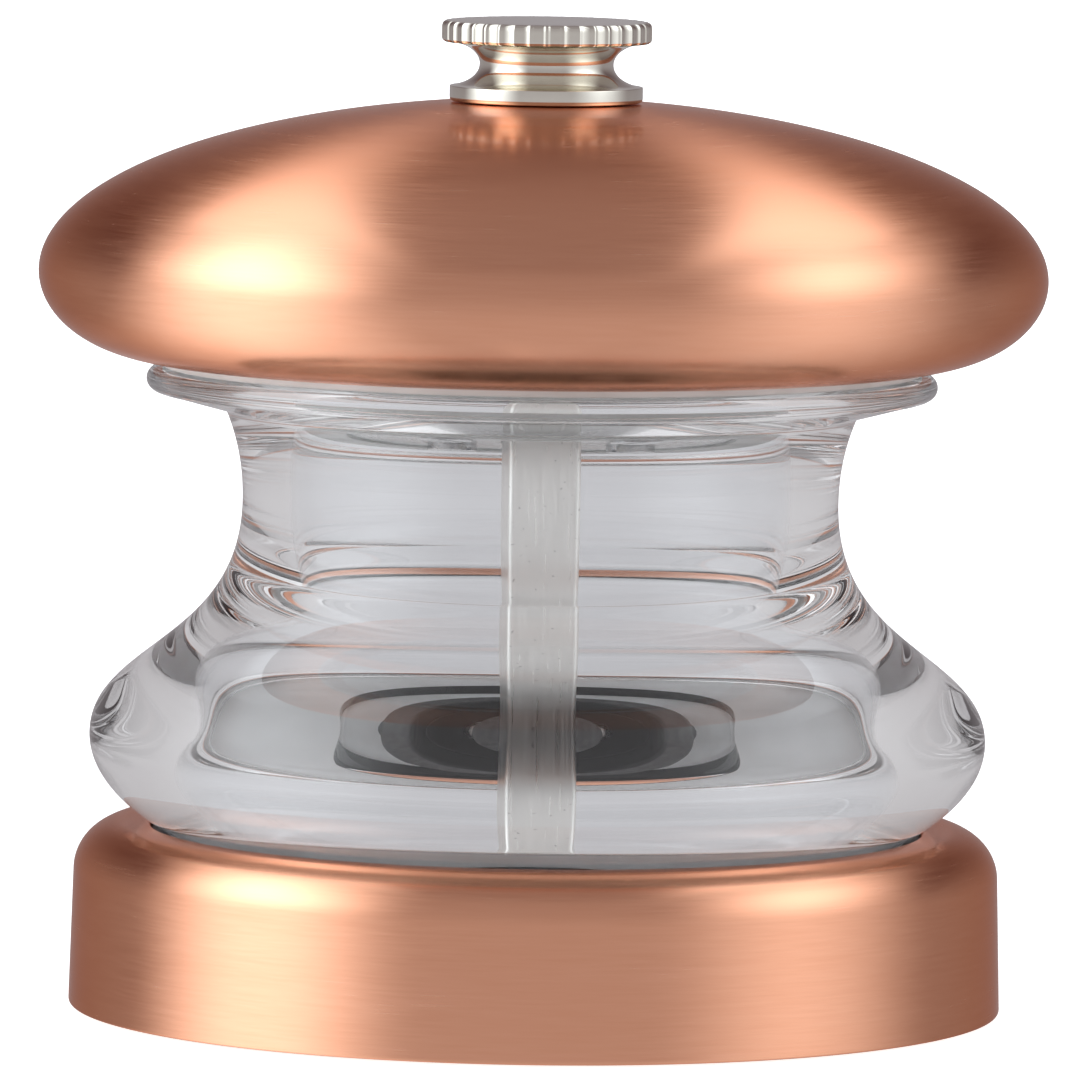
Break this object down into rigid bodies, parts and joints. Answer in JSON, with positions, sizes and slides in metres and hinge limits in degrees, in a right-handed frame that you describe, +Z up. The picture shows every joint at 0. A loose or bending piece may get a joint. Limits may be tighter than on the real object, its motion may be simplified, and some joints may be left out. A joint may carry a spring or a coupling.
{
  "type": "pepper mill",
  "caption": "Squat pepper mill with a domed copper cap and copper base, a waisted clear body, a square spindle and a knurled knob that sets the grind.",
  "frame": {"origin": "centre of the base's underside, on the table", "axes": "+Z up along the spindle, -Y towards the viewer of the picture"},
  "size_m": [0.0662, 0.0662, 0.065],
  "materials": {
    "copper": "brushed and lacquered copper plate",
    "nickel": "polished nickel plate",
    "clear_acrylic": "clear polished acrylic",
    "aluminium": "satin drawn bar",
    "white_plastic": "moulded",
    "black_plastic": "moulded",
    "steel": "machined",
    "zinc_screw": "zinc plated",
    "white_rubber": "moulded silicone"
  },
  "bodies": {
    "root": {"body": "clear_acrylic", "base_shell": "copper", "base_insert": "black_plastic", "base_gasket": "white_rubber", "mechanism_carrier": "black_plastic", "carrier_screws": "zinc_screw", "bridge_plate": "black_plastic", "spindle_bush": "black_plastic", "grinder_ring": "steel", "ring_retainer": "steel", "retainer_screws": "zinc_screw"},
    "drive": {"thrust_washer": "steel", "rotor_spring": "steel"},
    "spindle": {"spindle": "aluminium", "grinder_rotor": "steel", "rotor_washer": "steel", "rotor_clip": "steel"},
    "head": {"cap_shell": "copper", "cap_insert": "white_plastic", "drive_plate": "steel", "drive_plate_screws": "zinc_screw"},
    "knob": {"adjusting_knob": "nickel"}
  },
  "joints": [
    {"name": "cap_turn", "type": "hinge", "parent": "root", "child": "drive", "pos_m": [0, 0, 0], "axis": [0, 0, 1], "continuous": true},
    {"name": "grind_adjust", "type": "slide", "parent": "drive", "child": "spindle", "axis": [0, 0, 1], "range_m": [-0.00105, 0.00035], "deforming": ["rotor_spring"]},
    {"name": "cap_lift", "type": "slide", "parent": "drive", "child": "head", "axis": [0, 0, 1], "range_m": [0, 0.03]},
    {"name": "knob_turn", "type": "hinge", "parent": "head", "child": "knob", "pos_m": [0, 0, 0.06], "axis": [0, 0, 1], "range_deg": [-181, 541]}
  ],
  "couplings": [
    {"joint": "knob_turn", "follows": "grind_adjust", "rad_per_m": -8976}
  ]
}
